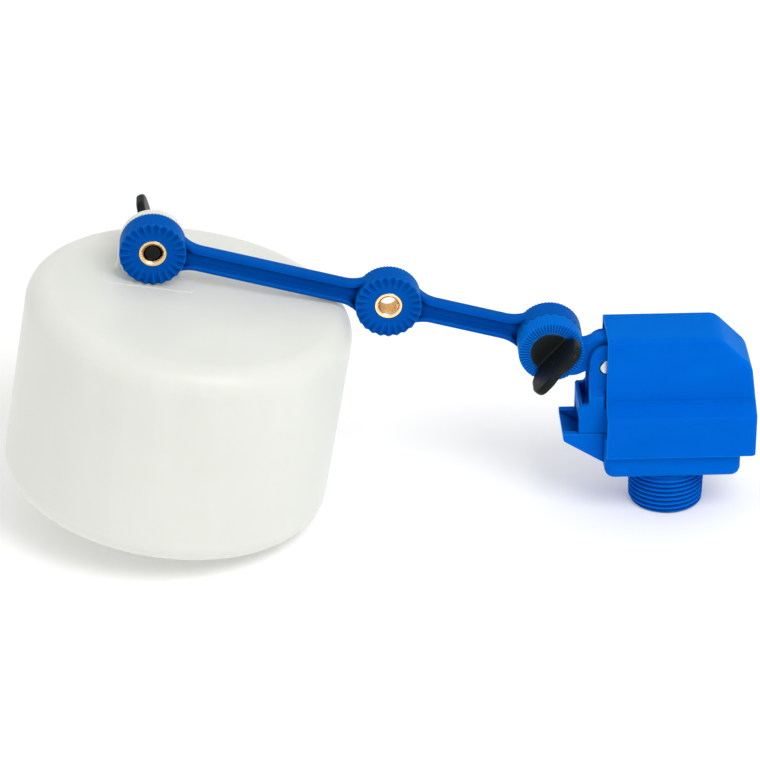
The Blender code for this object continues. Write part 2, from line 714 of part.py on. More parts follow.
def make_wing_screw(name, place, face_y, outward, shank_end_y, angle, mat, parent):
    """A thumb screw along Y: flat head, a blade beside the axis and a shank. outward is -1 or +1 along Y."""
    head_end = face_y + outward * HEAD_THICKNESS
    low, high = sorted((face_y, head_end))
    screw = rod(name, place, HEAD_RADIUS, low, high, mat, 32)
    low, high = sorted((face_y + outward * 0.5 * MM, shank_end_y))
    shank = rod(name + "_shank", place, SHANK_RADIUS, low, high, segments=24)
    span, height = WING_HALF_SPAN, WING_HEIGHT
    lobe = 5.0 * MM
    right = [(HEAD_RADIUS * 0.93, -0.3 * MM), (span - 1.2 * MM, 2.6 * MM)]
    right += arc((span - lobe, height - lobe), lobe, -10, 100, 6)
    left = [(-along, out) for along, out in right[::-1]]
    outline = right + [(0, height - 1.2 * MM)] + left
    low, high = sorted((0, outward * WING_THICKNESS))
    wings = plate(name + "_wings", outline, low, high)
    spin = Matrix.Rotation(-angle, 4, "Y")
    shift = Matrix.Translation((place[0], head_end, place[1]))
    wings.data.transform(shift @ spin @ turn_out(outward))
    join(screw, shank, wings)
    hang(screw, parent)


def turn_out(outward):
    """Turns a plate that stands up in X and Z so that its height runs out along Y."""
    return Matrix(((1, 0, 0, 0), (0, 0, outward, 0), (0, -outward, 0, 0), (0, 0, 0, 1)))


def make_float(mat, plug_mat, parent):
    """A hollow moulded float with a flat ear on top. It is built upright and then leant over."""
    outer, wall, round_r = FLOAT_RADIUS, FLOAT_WALL, FLOAT_ROUNDING
    steps = 4
    top_out = arc((outer - round_r, -round_r), round_r, 90, 0, steps)
    low_out = arc((outer - round_r, round_r - FLOAT_HEIGHT), round_r, 0, -90, steps)
    inner_r = round_r - wall
    low_in = arc((outer - round_r, round_r - FLOAT_HEIGHT), inner_r, -90, 0, steps)
    top_in = arc((outer - round_r, -round_r), inner_r, 0, 90, steps)
    profile = [(0, 0)] + top_out + low_out + [(FILLER_RADIUS, -FLOAT_HEIGHT), (FILLER_RADIUS, wall - FLOAT_HEIGHT)]
    profile += low_in + top_in + [(0, -wall)]
    shell = turned("float_shell", profile, mat, steps=56)
    ear_x, ear_z = EAR_OFFSET
    outline = [(ear_x + BOSS_RADIUS + 1 * MM, -0.6 * MM), (ear_x + BOSS_RADIUS, 1.5 * MM)]
    outline += arc((ear_x, ear_z), BOSS_RADIUS, 0, 180, 16)
    outline += [(ear_x - BOSS_RADIUS, 1.5 * MM), (ear_x - BOSS_RADIUS - 1 * MM, -0.6 * MM)]
    ear = plate("float_ear", outline, EAR_FRONT_Y, EAR_BACK_Y)
    pad = box(
        "float_ear_pad",
        (ear_x - 15.5 * MM, EAR_FRONT_Y - 10.5 * MM, -wall / 2),
        (ear_x + 15.5 * MM, EAR_BACK_Y + 1.5 * MM, 0.35 * MM),
    )
    hole = rod("float_ear_hole", EAR_OFFSET, SHANK_RADIUS + 0.4 * MM, EAR_FRONT_Y - 5 * MM, EAR_BACK_Y + 5 * MM)
    join(shell, pad, ear)
    cut(shell, hole)
    plug = turned(
        "float_plug",
        [
            (0, 2.6 * MM - FLOAT_HEIGHT),
            (FILLER_RADIUS - GAP, 2.6 * MM - FLOAT_HEIGHT),
            (FILLER_RADIUS - GAP, 0.2 * MM - FLOAT_HEIGHT),
            (0, 0.2 * MM - FLOAT_HEIGHT),
        ],
        plug_mat,
        steps=24,
    )
    lean = Matrix.Rotation(FLOAT_TILT, 4, "Y")
    joint = Vector((FLOAT_JOINT[0], 0, FLOAT_JOINT[1]))
    offset = lean @ Vector((ear_x, 0, ear_z))
    place = Matrix.Translation(joint - offset) @ lean
    for part in (shell, plug, ear, pad, hole):
        part.matrix_world = place
    for part in (shell, plug):
        hang(part, parent)


def axis_empty(name, x, z, parent=None):
    made = bpy.data.objects.new(name, None)
    made.empty_display_size = 0.01
    made.location = (x, 0, z)
    PARTS.objects.link(made)
    bpy.context.view_layer.update()
    if parent:
        hang(made, parent)
    return made


def hang(obj, parent):
    """Parents an object without moving it."""
    bpy.context.view_layer.update()
    world = obj.matrix_world.copy()
    obj.parent = parent
    obj.matrix_parent_inverse = parent.matrix_world.inverted()
    obj.matrix_world = world


def main():
    blue = material("valve_blue", (0.002, 0.14, 0.70), 0.42)
    royal = material("arm_blue", (0.001, 0.06, 0.42), 0.42)
    brass = material("brass", (0.80, 0.52, 0.25), 0.3, 1.0)
    black = material("black_nylon", (0.008, 0.009, 0.010), 0.4)
    steel = material("stainless_steel", (0.60, 0.61, 0.62), 0.28, 1.0)
    rubber = material("rubber", (0.012, 0.012, 0.012), 0.7)
    acetal = material("acetal", (0.85, 0.85, 0.82), 0.4)
    milky = material("milky_plastic", (0.76, 0.78, 0.73), 0.35)

    lever_axis = axis_empty("lever_axis", *PIVOT)
    arm_axis = axis_empty("arm_axis", *LEVER_JOINT, parent=lever_axis)
    float_axis = axis_empty("float_axis", *FLOAT_JOINT, parent=arm_axis)
    plunger_axis = axis_empty("plunger_axis", 0, SEAT_TOP_Z)

    make_body(blue)
    make_hood(blue)
    make_nozzle(brass, rubber)
    make_guide(acetal, steel)
    make_plunger(acetal, rubber, steel, plunger_axis)
    make_pin(steel)
    make_lever(blue, lever_axis)
    make_arm(royal, brass, arm_axis)
    front = {"face_y": LEVER_FRONT_Y - GAP, "outward": -1, "shank_end_y": ARM_BACK_Y - TOOTH_DEPTH - 0.6 * MM}
    make_wing_screw("wing_screw_lever", LEVER_JOINT, angle=LEVER_WING_ANGLE, mat=black, parent=arm_axis, **front)
    back = {"face_y": EAR_BACK_Y + GAP, "outward": 1, "shank_end_y": ARM_FRONT_Y + TOOTH_DEPTH + 0.7 * MM}
    make_wing_screw("wing_screw_float", FLOAT_JOINT, angle=FLOAT_WING_ANGLE, mat=black, parent=arm_axis, **back)
    make_float(milky, acetal, float_axis)


main()
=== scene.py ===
"""Float valve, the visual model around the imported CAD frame.

Shapes are worked out in millimetres and turned into metres when a piece is finished.
"""

import json
from math import atan2, cos, hypot, pi, radians, sin, sqrt, tan

import bmesh
import bpy
import numpy as np
from mathutils import Matrix, Vector


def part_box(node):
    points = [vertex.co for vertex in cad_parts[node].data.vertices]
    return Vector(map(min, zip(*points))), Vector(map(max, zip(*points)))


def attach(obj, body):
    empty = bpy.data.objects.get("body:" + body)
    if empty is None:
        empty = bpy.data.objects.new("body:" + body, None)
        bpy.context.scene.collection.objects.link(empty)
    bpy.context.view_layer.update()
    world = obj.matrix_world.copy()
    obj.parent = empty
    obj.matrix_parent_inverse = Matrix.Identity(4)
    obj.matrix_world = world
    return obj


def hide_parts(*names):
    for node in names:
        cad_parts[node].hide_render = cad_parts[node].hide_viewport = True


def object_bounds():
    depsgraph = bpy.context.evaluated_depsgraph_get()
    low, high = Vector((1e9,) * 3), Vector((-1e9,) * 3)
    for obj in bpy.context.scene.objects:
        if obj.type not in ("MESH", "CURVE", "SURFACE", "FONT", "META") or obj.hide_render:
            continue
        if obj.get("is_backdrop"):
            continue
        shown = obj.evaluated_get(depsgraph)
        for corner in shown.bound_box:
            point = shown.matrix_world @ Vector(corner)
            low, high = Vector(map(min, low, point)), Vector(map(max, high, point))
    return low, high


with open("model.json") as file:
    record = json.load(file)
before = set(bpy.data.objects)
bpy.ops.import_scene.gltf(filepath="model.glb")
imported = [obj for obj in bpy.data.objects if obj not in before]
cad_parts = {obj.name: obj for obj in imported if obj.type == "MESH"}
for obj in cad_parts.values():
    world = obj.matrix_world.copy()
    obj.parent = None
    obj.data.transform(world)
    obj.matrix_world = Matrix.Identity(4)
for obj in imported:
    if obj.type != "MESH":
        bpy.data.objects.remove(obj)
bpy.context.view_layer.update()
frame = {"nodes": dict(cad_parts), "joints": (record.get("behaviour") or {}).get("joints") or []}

MM = 0.001
SCENE = bpy.context.scene


# ---------------------------------------------------------------- places from the frame

def joint_place(name):
    row = next(row for row in frame["joints"] if row["name"] == name)
    return (row["pos_m"][0] / MM, row["pos_m"][2] / MM)


def node_box(name):
    low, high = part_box(name)
    return low / MM, high / MM


PIVOT = joint_place("lever_pivot")
LEVER_JOINT = joint_place("arm_joint")
FLOAT_JOINT = joint_place("float_joint")
insert_low, insert_high = node_box("insert_middle")
MIDDLE_JOINT = ((insert_low.x + insert_high.x) / 2, (insert_low.z + insert_high.z) / 2)
hood_low, hood_high = node_box("hood_cover")
arm_high = node_box("float_arm")[1]
lever_low = node_box("lever")[0]

SPAN = hypot(FLOAT_JOINT[0] - LEVER_JOINT[0], FLOAT_JOINT[1] - LEVER_JOINT[1])
SLOPE = atan2(FLOAT_JOINT[1] - LEVER_JOINT[1], LEVER_JOINT[0] - FLOAT_JOINT[0])
MIDDLE_ALONG = hypot(MIDDLE_JOINT[0] - LEVER_JOINT[0], MIDDLE_JOINT[1] - LEVER_JOINT[1])


# ---------------------------------------------------------------- mesh helpers

def holder(work):
    """A working object made from a bmesh in millimetres."""
    bmesh.ops.recalc_face_normals(work, faces=work.faces)
    data = bpy.data.meshes.new("shape")
    work.to_mesh(data)
    work.free()
    made = bpy.data.objects.new("shape", data)
    SCENE.collection.objects.link(made)
    return made


def rounded(corners, steps=6):
    """An outline with rounded corners, from (a, b, radius) rows."""
    out = []
    for i, (a, b, radius) in enumerate(corners):
        if not radius:
            out.append((a, b))
            continue
        here = Vector((a, b))
        before = Vector(corners[i - 1][:2]) - here
        after = Vector(corners[(i + 1) % len(corners)][:2]) - here
        half = before.angle(after) / 2
        reach = min(radius / tan(half), 0.48 * before.length, 0.48 * after.length)
        radius = reach * tan(half)
        centre = here + (before.normalized() + after.normalized()).normalized() * (radius / sin(half))
        first = here + before.normalized() * reach - centre
        last = here + after.normalized() * reach - centre
        start = atan2(first.y, first.x)
        sweep = (atan2(last.y, last.x) - start + pi) % (2 * pi) - pi
        for k in range(steps + 1):
            turn = start + sweep * k / steps
            out.append((centre.x + radius * cos(turn), centre.y + radius * sin(turn)))
    return out


PLANES = {
    "XZ": lambda a, b, t: (a, t, b),
    "YZ": lambda a, b, t: (t, a, b),
    "XY": lambda a, b, t: (a, b, t),
}


def prism(outline, low, high, edge=0.0, plane="XZ", steps=3):
    """An outline made thick, with its two rims rounded by edge."""
    place = PLANES[plane]
    work = bmesh.new()
    near = [work.verts.new(place(a, b, low)) for a, b in outline]
    far = [work.verts.new(place(a, b, high)) for a, b in outline]
    caps = [work.faces.new(near), work.faces.new(far)]
    for i in range(len(outline)):
        k = (i + 1) % len(outline)
        work.faces.new((near[i], near[k], far[k], far[i]))
    bmesh.ops.recalc_face_normals(work, faces=work.faces)
    if edge:
        rims = [e for cap in caps for e in cap.edges]
        bmesh.ops.bevel(
            work, geom=rims, offset=edge, segments=steps, profile=0.5, affect="EDGES", clamp_overlap=False
        )
    return holder(work)


def box(low, high):
    work = bmesh.new()
    bmesh.ops.create_cube(work, size=1)
    for vert in work.verts:
        vert.co = Vector([(low[i] + high[i]) / 2 + vert.co[i] * (high[i] - low[i]) for i in range(3)])
    return holder(work)


def turned(rings, place=(0.0, 0.0), axis="Y", count=96, closed=False):
    """A turned solid. A ring is (radius, height), each a number or a function of the turn.

    A ring of radius 0 is a pole. A closed profile makes a tube.
    """
    turns = np.arange(count) * 2 * pi / count
    points, rows = [], []
    for radius, height in rings:
        if not callable(radius) and radius == 0:
            rows.append([len(points)] * count)
            points.append((0.0, 0.0, float(height)))
            continue
        r = radius(turns) if callable(radius) else np.full(count, float(radius))
        h = height(turns) if callable(height) else np.full(count, float(height))
        rows.append(list(range(len(points), len(points) + count)))
        points += list(zip(r * np.cos(turns), r * np.sin(turns), h))
    faces = []
    spans = list(zip(rows, rows[1:])) + ([(rows[-1], rows[0])] if closed else [])
    for one, two in spans:
        for i in range(count):
            k = (i + 1) % count
            face = []
            for corner in (one[i], one[k], two[k], two[i]):
                if corner not in face:
                    face.append(corner)
            faces.append(face)
    if axis == "Y":
        points = [(place[0] + x, h, place[1] + y) for x, y, h in points]
    else:
        points = [(place[0] + x, place[1] + y, h) for x, y, h in points]
    data = bpy.data.meshes.new("turned")
    data.from_pydata(points, [], faces)
    work = bmesh.new()
    work.from_mesh(data)
    bpy.data.meshes.remove(data)
    return holder(work)


def rod(place, radius, low, high, axis="Y", count=64, edge=0.0):
    """A round bar, with its two rims rounded by edge."""
    rings = [(0, low), (radius, low), (radius, high), (0, high)]
    if edge:
        near = edge * 0.3
        rings = [(0, low), (radius - edge, low), (radius - near, low + near), (radius, low + edge)]
        rings += [(radius, high - edge), (radius - near, high - near), (radius - edge, high), (0, high)]
    return turned(rings, place, axis, count)


def bake(obj):
    """Turns an object's modifiers into its mesh."""
    bpy.context.view_layer.update()
    made = bpy.data.meshes.new_from_object(obj.evaluated_get(bpy.context.evaluated_depsgraph_get()))
    old = obj.data
    obj.modifiers.clear()
    obj.data = made
    bpy.data.meshes.remove(old)
    return obj


SIGNS = {"+": "UNION", "-": "DIFFERENCE", "&": "INTERSECT"}


def combine(base, *steps):
    """Joins, cuts or intersects the base with tools, given as (sign, tool) pairs, and drops the tools."""
    for sign, tool in steps:
        step = base.modifiers.new("step", "BOOLEAN")
        step.operation = SIGNS[sign]
        step.object = tool
        step.solver = "EXACT"
    bake(base)
    for tool in {tool for _, tool in steps}:
        bpy.data.objects.remove(tool, do_unlink=True)
    return base


def round_edges(obj, width, segments=3, least=25.0):
    """Rounds edges in place. width(middle, direction) gives each edge's own width in mm, or 0.

    Edges that turn by less than least degrees are left alone.
    """
    work = bmesh.new()
    work.from_mesh(obj.data)
    bmesh.ops.remove_doubles(work, verts=work.verts, dist=1e-4)
    bmesh.ops.dissolve_limit(
        work, angle_limit=radians(0.5), verts=work.verts, edges=work.edges, use_dissolve_boundaries=False
    )
    layer = work.edges.layers.float.new("bevel_weight_edge")
    widths = {}
    for e in work.edges:
        if len(e.link_faces) != 2 or e.calc_face_angle(0) < radians(least):
            continue
        middle = (e.verts[0].co + e.verts[1].co) / 2
        direction = (e.verts[1].co - e.verts[0].co).normalized()
        widths[e] = width(middle, direction)
    most = max(widths.values())
    for e, wide in widths.items():
        e[layer] = wide / most
    work.to_mesh(obj.data)
    work.free()
    step = obj.modifiers.new("round", "BEVEL")
    step.width = most
    step.segments = segments
    step.limit_method = "WEIGHT"
    step.use_clamp_overlap = True
    step.miter_outer = "MITER_SHARP"
    bake(obj)
    weights = obj.data.attributes.get("bevel_weight_edge")
    if weights:
        obj.data.attributes.remove(weights)
    return obj


def piece(obj, name, body, node, mat, smooth=34):
    """Finishes a piece: metres, shading, material, and its place in the frame."""
    obj.name = obj.data.name = name
    work = bmesh.new()
    work.from_mesh(obj.data)
    bmesh.ops.remove_doubles(work, verts=work.verts, dist=2e-4)
    bmesh.ops.scale(work, vec=(MM, MM, MM), verts=work.verts)
    work.to_mesh(obj.data)
    work.free()
    obj.data.shade_smooth()
    obj.data.set_sharp_from_angle(angle=radians(smooth))
    weigh = obj.modifiers.new("weighted_normals", "WEIGHTED_NORMAL")
    weigh.keep_sharp = True
    obj.data.materials.clear()
    obj.data.materials.append(mat)
    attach(obj, body)
    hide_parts(node)
    return obj


# ---------------------------------------------------------------- materials

def linear(*colour):
    """An sRGB colour, given as red, green and blue from 0 to 255, in linear values."""
    return tuple(((c / 255 + 0.055) / 1.055) ** 2.4 if c > 10 else c / 255 / 12.92 for c in colour)


class Nodes:
    """Short names for building one material."""

    def __init__(self, name):
        self.mat = bpy.data.materials.new(name)
        self.mat.use_nodes = True
        self.tree = self.mat.node_tree
        self.shader = self.tree.nodes["Principled BSDF"]
        self.place = self.add("ShaderNodeTexCoord").outputs["Object"]

    def add(self, kind, **values):
        node = self.tree.nodes.new(kind)
        for key, value in values.items():
            setattr(node, key, value)
        return node

    def link(self, start, end):
        self.tree.links.new(start, end)

    def set(self, **values):
        for key, value in values.items():
            self.shader.inputs[key.replace("_", " ")].default_value = value

    def noise(self, scale, detail=3.0, stretch=(1, 1, 1)):
        spread = self.add("ShaderNodeMapping")
        spread.inputs["Scale"].default_value = stretch
        self.link(self.place, spread.inputs["Vector"])
        made = self.add("ShaderNodeTexNoise")
        made.inputs["Scale"].default_value = scale
        made.inputs["Detail"].default_value = detail
        self.link(spread.outputs["Vector"], made.inputs["Vector"])
        return made.outputs["Fac"]

    def spread(self, value, low, high, start=0.3, end=0.7):
        """Maps a texture onto a range of numbers."""
        made = self.add("ShaderNodeMapRange")
        made.inputs["From Min"].default_value = start
        made.inputs["From Max"].default_value = end
        made.inputs["To Min"].default_value = low
        made.inputs["To Max"].default_value = high
        self.link(value, made.inputs["Value"])
        return made.outputs["Result"]

    def edges(self, reach, most):
        """How near a point is to an edge, 0 to most.

        A normal rounded over reach mm turns away from the face's own there.
        """
        soft = self.add("ShaderNodeBevel", samples=6)
        soft.inputs["Radius"].default_value = reach * MM
        facing = self.add("ShaderNodeVectorMath", operation="DOT_PRODUCT")
        self.link(soft.outputs["Normal"], facing.inputs[0])
        self.link(self.add("ShaderNodeNewGeometry").outputs["Normal"], facing.inputs[1])
        return self.spread(facing.outputs["Value"], most, 0, 0.95, 0.997)

    def hollows(self, reach, least=0.0):
        """How open a point is, from least in a deep groove to 1 on a crest or a plain face."""
        near = self.add("ShaderNodeAmbientOcclusion", samples=6)
        near.inputs["Distance"].default_value = reach * MM
        return self.spread(near.outputs["AO"], least, 1, 0.4, 0.92)

    def blend(self, factor, one, two):
        """Mixes two colours, each a tuple or a socket."""
        made = self.add("ShaderNodeMix", data_type="RGBA")
        self.link(factor, made.inputs["Factor"])
        for socket, value in (("A", one), ("B", two)):
            target = next(s for s in made.inputs if s.name == socket and s.type == "RGBA")
            if isinstance(value, tuple):
                target.default_value = (*value, 1)
            else:
                self.link(value, target)
        return next(s for s in made.outputs if s.type == "RGBA")

    def bump(self, layers):
        """Stacks (height, strength, distance in mm) layers into the normal."""
        last = None
        for height, strength, distance in layers:
            made = self.add("ShaderNodeBump")
            made.inputs["Strength"].default_value = strength
            made.inputs["Distance"].default_value = distance * MM
            self.link(height, made.inputs["Height"])
            if last:
                self.link(last, made.inputs["Normal"])
            last = made.outputs["Normal"]
        self.link(last, self.shader.inputs["Normal"])


def moulded(name, dark, main, light, edge_highlight, groove, rough, gloss, glow=0.0, veil=0.0, reach=1.6):
    """Injection-moulded plastic: faint flow clouds, a fine matt grain, a painted highlight lightening the
    edges, painted shade darkening the grooves.

    glow is the light spreading inside it, veil a soft blue-green sheen, reach a groove's depth in mm, over
    which the painted shade darkens it.
    """
    n = Nodes(name)
    clouds = n.noise(38, 4)
    flow = n.noise(90, 3, stretch=(0.35, 1, 1))
    grain_fine = n.noise(2600, 2)
    grain_wide = n.noise(420, 3)
    colour = n.blend(n.spread(clouds, 0, 1), dark, main)
    colour = n.blend(n.spread(flow, 0, 0.35, 0.45, 0.8), colour, light)
    # painted highlight: edges are lightened towards a brighter colour, standing in for light caught on the
    # rounded edges
    colour = n.blend(n.edges(0.45, 0.6), colour, edge_highlight)
    # painted shade: grooves, creases and hollows are darkened towards the groove colour, where shade falls
    colour = n.blend(n.hollows(reach), groove, colour)
    n.link(colour, n.shader.inputs["Base Color"])
    n.link(n.spread(grain_wide, rough - 0.06, rough + 0.07), n.shader.inputs["Roughness"])
    n.set(Specular_IOR_Level=gloss, Subsurface_Weight=glow, Subsurface_Scale=0.0016, Sheen_Weight=veil)
    n.shader.inputs["Sheen Tint"].default_value = (0.0, 0.8, 0.6, 1)
    n.shader.inputs["Sheen Roughness"].default_value = 0.45
    n.shader.inputs["Subsurface Radius"].default_value = (0.2, 0.8, 1.0)
    n.bump([(grain_wide, 0.25, 0.03), (grain_fine, 0.35, 0.02)])
    return n.mat


def metal(name, dark, light, groove, rough, scratch, scale):
    """Machined metal: tool marks stretched along scratch, small changes of tone, and painted shade darkening
    its hollows.
    """
    n = Nodes(name)
    tone = n.noise(160, 3)
    marks = n.noise(scale, 2, stretch=scratch)
    colour = n.blend(n.spread(tone, 0, 1), dark, light)
    # painted shade: thread valleys and other hollows are darkened towards the groove colour
    n.link(n.blend(n.hollows(0.8, 0.3), groove, colour), n.shader.inputs["Base Color"])
    n.link(n.spread(marks, rough - 0.08, rough + 0.1), n.shader.inputs["Roughness"])
    n.set(Metallic=1.0)
    n.bump([(marks, 0.1, 0.01)])
    return n.mat


# Colours of each plastic: two cloud tones, a flow-line tone, a painted highlight colour for the edges and a
# painted shade colour for the grooves.
VALVE_BLUE = moulded(
    "valve_blue_moulded", linear(0, 92, 195), linear(0, 98, 203), linear(0, 110, 212), linear(24, 142, 238),
    linear(0, 46, 128), rough=0.34, gloss=0.004, glow=0.3, veil=0.1
)
LEVER_BLUE = moulded(
    "lever_blue_moulded", linear(0, 90, 190), linear(0, 96, 198), linear(0, 108, 208), linear(24, 142, 238),
    linear(0, 66, 158), rough=0.34, gloss=0.004, glow=0.3, veil=0.1
)
ARM_BLUE = moulded(
    "arm_blue_moulded", linear(0, 72, 162), linear(0, 79, 171), linear(0, 90, 181), linear(14, 112, 206),
    linear(0, 32, 100), rough=0.32, gloss=0.004, glow=0.15, veil=0.1, reach=2.6
)
BLACK = moulded(
    "black_nylon_moulded", linear(9, 13, 14), linear(13, 19, 21), linear(22, 30, 32), linear(40, 50, 50),
    linear(4, 6, 7), rough=0.42, gloss=0.16
)
ACETAL = moulded(
    "acetal_moulded", linear(226, 226, 220), linear(236, 236, 230), linear(240, 240, 236),
    linear(244, 244, 240), linear(180, 180, 174), rough=0.36, gloss=0.4
)
# The third colour of each metal is its painted shade in hollows.
BRASS = metal(
    "brass_turned", linear(255, 220, 170), linear(255, 230, 186), linear(120, 62, 30),
    rough=0.24, scratch=(1, 6, 1), scale=900
)
STEEL = metal(
    "steel_turned", linear(206, 211, 217), linear(212, 217, 222), linear(90, 94, 100),
    rough=0.26, scratch=(1, 5, 1), scale=300
)


def rubber_material():
    """Pressed rubber: near black, matt, with a faint grey bloom."""
    n = Nodes("rubber_pressed")
    bloom = n.noise(300, 4)
    grain = n.noise(3000, 2)
    colour = n.blend(n.spread(bloom, 0, 1), linear(22, 22, 23), linear(40, 40, 41))
    n.link(colour, n.shader.inputs["Base Color"])
    n.link(n.spread(bloom, 0.6, 0.8), n.shader.inputs["Roughness"])
    n.bump([(grain, 0.3, 0.02)])
    return n.mat


def milky_material():
    """Blow-moulded polyethylene: milky, a little translucent, soft clouds, faint upright flow lines and a
    faint painted glow.
    """
    n = Nodes("milky_blow_moulded")
    clouds = n.noise(22, 3)
    flow = n.noise(60, 3, stretch=(1, 1, 0.18))
    grain = n.noise(900, 3)
    colour = n.blend(n.spread(clouds, 0, 1), linear(200, 202, 196), linear(204, 206, 200))
    colour = n.blend(n.spread(flow, 0, 0.5, 0.45, 0.8), colour, linear(209, 211, 206))
    n.link(colour, n.shader.inputs["Base Color"])
    n.link(n.spread(flow, 0.34, 0.46), n.shader.inputs["Roughness"])
    n.set(Subsurface_Weight=0.5, Subsurface_Scale=0.004, Specular_IOR_Level=0.35, IOR=1.5)
    # painted light: a faint emission makes the float glow evenly, standing in for light passing through it
    # and flattening its shading
    n.set(Emission_Strength=0.11)
    n.shader.inputs["Emission Color"].default_value = (1.0, 0.99, 0.93, 1)
    n.shader.inputs["Subsurface Radius"].default_value = (1.0, 0.95, 0.75)
    n.bump([(clouds, 0.2, 0.15), (grain, 0.15, 0.02)])
    return n.mat


RUBBER = rubber_material()
MILKY = milky_material()


# ---------------------------------------------------------------- teeth, ribs and threads

FULL_TURN = 2 * pi
BOSS = 11.4
BOSS_COUNT = 480
RIM = 0.3

TEETH = 24
TOOTH = 1.3
TOOTH_ROOT = 6.9
HALF_TOOTH = pi / TEETH


def tooth_wave(turns, offset=0.0):
    """1 on a ridge and 0 in a valley of the V teeth, both a little rounded."""
    part = (turns - offset) * TEETH / FULL_TURN
    wave = 1 - 2 * np.abs(part - np.round(part))
    return np.clip(0.04 + 0.92 * wave, 0, 1)


def tooth_growth(radius):
    """The share of its full height that a tooth has at a radius."""
    return max(0.0, min(1.0, (radius - TOOTH_ROOT) / (BOSS - RIM - TOOTH_ROOT))) ** 0.55


def toothed_rings(face, way, offset=0.0):
    """Rings of a toothed face from the middle out. face is the hub's height, way the side it faces."""
    rings = [(0, face)]
    for radius in (TOOTH_ROOT, 7.15, 7.7, 8.6, 9.8, BOSS - RIM):
        height = TOOTH * tooth_growth(radius)
        rings.append((radius, lambda t, h=height: face + way * h * tooth_wave(t, offset)))
    rings.append((BOSS, lambda t: face + way * (TOOTH * tooth_wave(t, offset) - RIM)))
    return rings


RIBS = 60
RIB = 0.45
HALF_RIB = pi / RIBS


def rib_wave(turns, offset=0.0):
    """1 on a fine radial rib and 0 in the groove beside it."""
    return np.clip(0.5 + 0.75 * np.cos(RIBS * (turns - offset)), 0, 1)


def ribbed_rings(hub, crest, way, offset=0.0):
    """Rings of a finely ribbed face from the middle out: a plain hub, and ribs that run out over the rim."""
    valley = crest - way * RIB

    def height(share, drop=0.0):
        return lambda t: valley + way * (RIB * share * rib_wave(t, offset) - drop)

    rings = [(0, hub), (7.3, hub)]
    rings += [(radius, height(1)) for radius in (7.7, 9.3, 10.8)]
    rings.append((11.15, height(0.8, 0.05)))
    rings.append((lambda t: BOSS - 0.14 * (1 - rib_wave(t, offset)), height(0.3, 0.3)))
    rings.append((BOSS, valley - way * 0.6))
    return rings


def thread_wave(height, turns, pitch):
    """1 on the ridge of a right-hand thread and 0 at its root, straight between them."""
    part = (height / pitch - turns / FULL_TURN) % 1.0
    return 1 - 2 * np.abs(part - 0.5)


# ---------------------------------------------------------------- inlet casting

BLOCK_LEFT, BLOCK_RIGHT = -23.0, 24.4
BLOCK_HALF = 15.0
SHOULDER = 15.4
BLOCK_TOP = 31.0
CHAMBER_FLOOR = 21.2
CHAMBER_RADIUS = 10.6
TROUGH_END, TROUGH_HALF, TROUGH_TOP, TROUGH_LIP, TROUGH_ROOT = -37.5, 10.0, 31.3, 28.8, 19.6
CHANNEL_HALF = 7.7
WALL_END, WALL_HALF, WALL_TOP, STEP_TOP = -32.0, 9.7, 42.2, 45.8
END_WALL = 1.1
MOUTH = hood_low.x
CHEEK_IN, CHEEK_OUT, CHEEK_HALF, CHEEK_TOP = 4.9, 7.4, 6.1, 63.8
THREAD_PITCH = 1.814
THREAD_DEPTH = 0.95
CREST_START, CREST_END = 12.95, 13.4
BORE = 8.0
PIN_HOLE = 2.85
GUIDE_SCREWS = ((-10.2, 11.6), (12.2, -11.6))
GUIDE_SCREW_HOLE = 1.4
THROUGH = 12


def threaded_spigot():
    """The taper pipe thread, a right-hand helix with a started end and a run-out under the shoulder."""
    per_turn = 12
    count = 132

    def radius_at(z):
        crest = CREST_START + (CREST_END - CREST_START) * z / SHOULDER

        def radius(turns):
            ridge = np.clip((thread_wave(z, turns, THREAD_PITCH) - 0.12) / 0.74, 0, 1)
            fade = min(1.0, max(0.0, (SHOULDER - 0.3 - z) / 1.2))
            r = crest - THREAD_DEPTH * (1 - ridge * fade)
            return np.minimum(r, 11.9 + 1.1 * z)

        return radius

    top = SHOULDER + 2
    steps = int(top / THREAD_PITCH * per_turn)
    rings = [(0, 0.0)]
    rings += [(radius_at(top * k / steps), top * k / steps) for k in range(steps + 1)]
    return turned(rings + [(0, top)], (0, 0), "Z", count)


def trough_width(p, d):
    """How far each edge of the trough is rounded: its sides and underside, and not its mouth."""
    return 0.7 if abs(p.y) > TROUGH_HALF - 0.1 and p.z < TROUGH_TOP - 0.05 else 0


